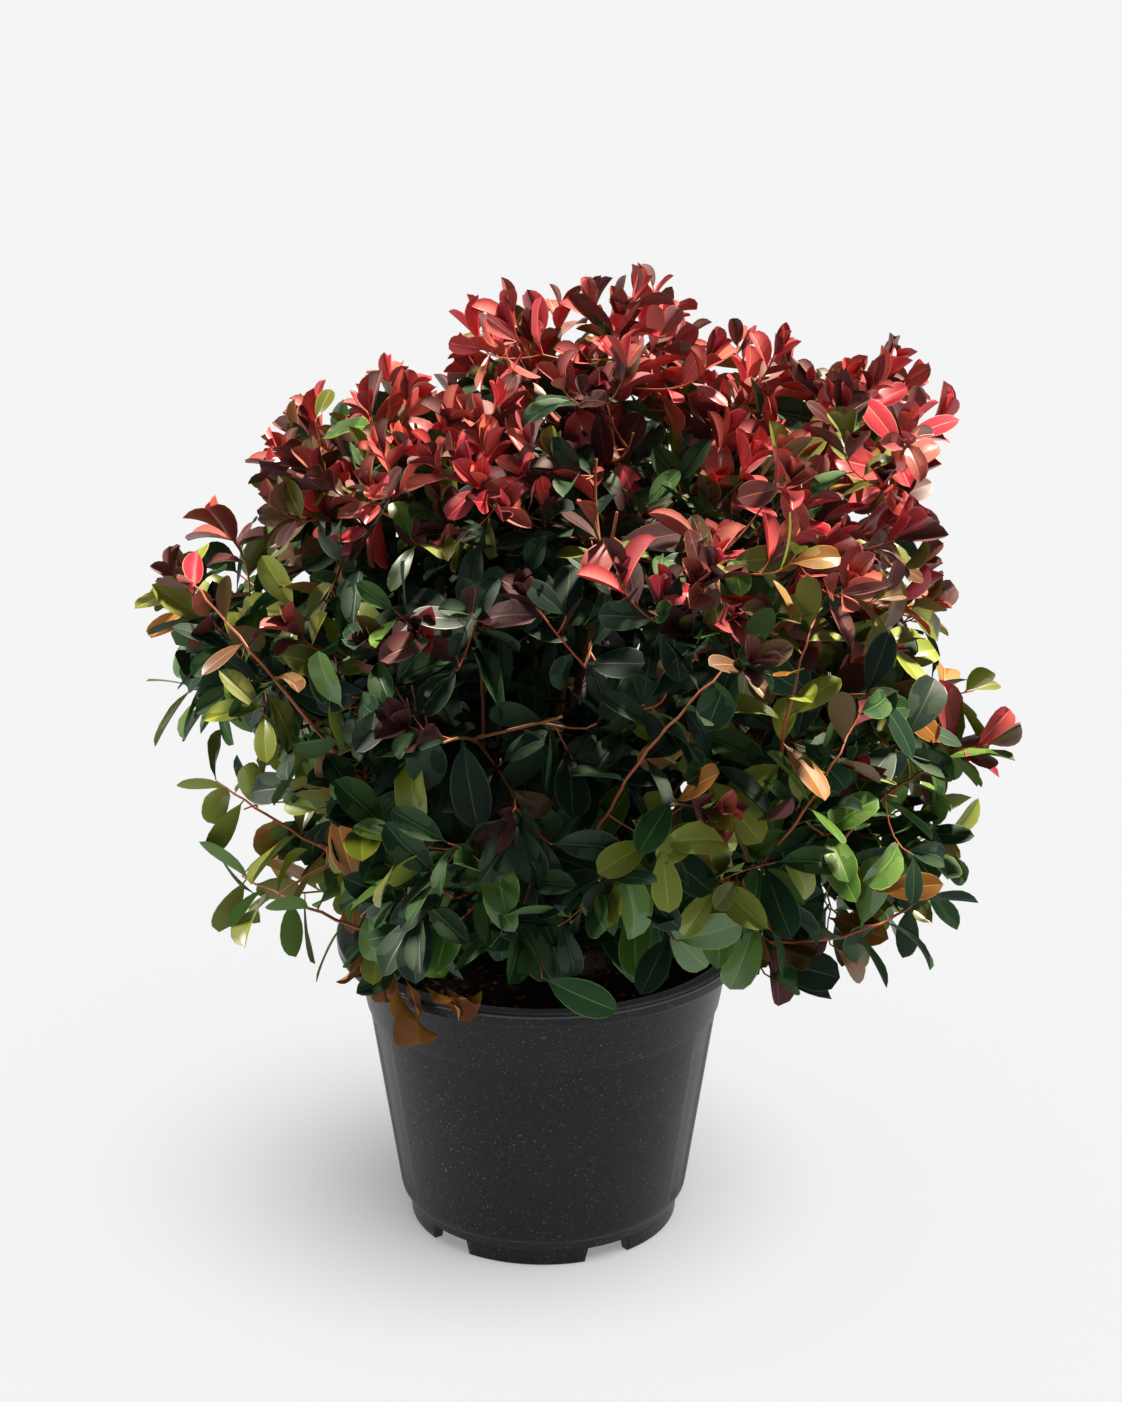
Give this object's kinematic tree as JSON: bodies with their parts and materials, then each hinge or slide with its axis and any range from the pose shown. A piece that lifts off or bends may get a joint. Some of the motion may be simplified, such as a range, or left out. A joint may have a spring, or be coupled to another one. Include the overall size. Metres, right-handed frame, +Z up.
{
  "type": "potted photinia shrub",
  "caption": "Bushy evergreen photinia shrub with glossy green leaves and crimson young shoots, growing in a round black nursery pot filled with dark compost.",
  "frame": {"origin": "centre of the pot's underside, on the pot's axis, at the level that it stands on", "axes": "+Z up along the pot's axis, -Y towards the side seen in the picture, +X to the right in it"},
  "size_m": [0.615, 0.5567, 0.7137],
  "materials": {
    "pot": "moulded charcoal black plastic, satin, glossier on the lip",
    "compost": "dark, crumbly, moist bark compost",
    "bark": "thin brown bark, orange-red on the young shoots",
    "green_leaves": "glossy leathery green leaves",
    "bronze_leaves": "glossy leaves turning from red to green",
    "red_leaves": "glossy crimson young leaves"
  },
  "bodies": {
    "root": {"compost": "compost", "foliage_high_1": "red_leaves", "foliage_high_2": "red_leaves", "foliage_high_3": "red_leaves", "foliage_high_4": "red_leaves", "foliage_low_1": "green_leaves", "foliage_low_2": "green_leaves", "foliage_low_3": "green_leaves", "foliage_low_4": "green_leaves", "foliage_low_5": "green_leaves", "foliage_mid_1": "bronze_leaves", "foliage_mid_2": "bronze_leaves", "foliage_mid_3": "bronze_leaves", "foliage_mid_4": "bronze_leaves", "foliage_mid_5": "bronze_leaves", "foliage_top_1": "red_leaves", "limb_high_1": "bark", "limb_high_2": "bark", "limb_high_3": "bark", "limb_high_4": "bark", "limb_low_1": "bark", "limb_low_2": "bark", "limb_low_3": "bark", "limb_low_4": "bark", "limb_low_5": "bark", "limb_mid_1": "bark", "limb_mid_2": "bark", "limb_mid_3": "bark", "limb_mid_4": "bark", "limb_mid_5": "bark", "limb_top_1": "bark", "pot": "pot", "trunk": "bark"}
  },
  "joints": []
}
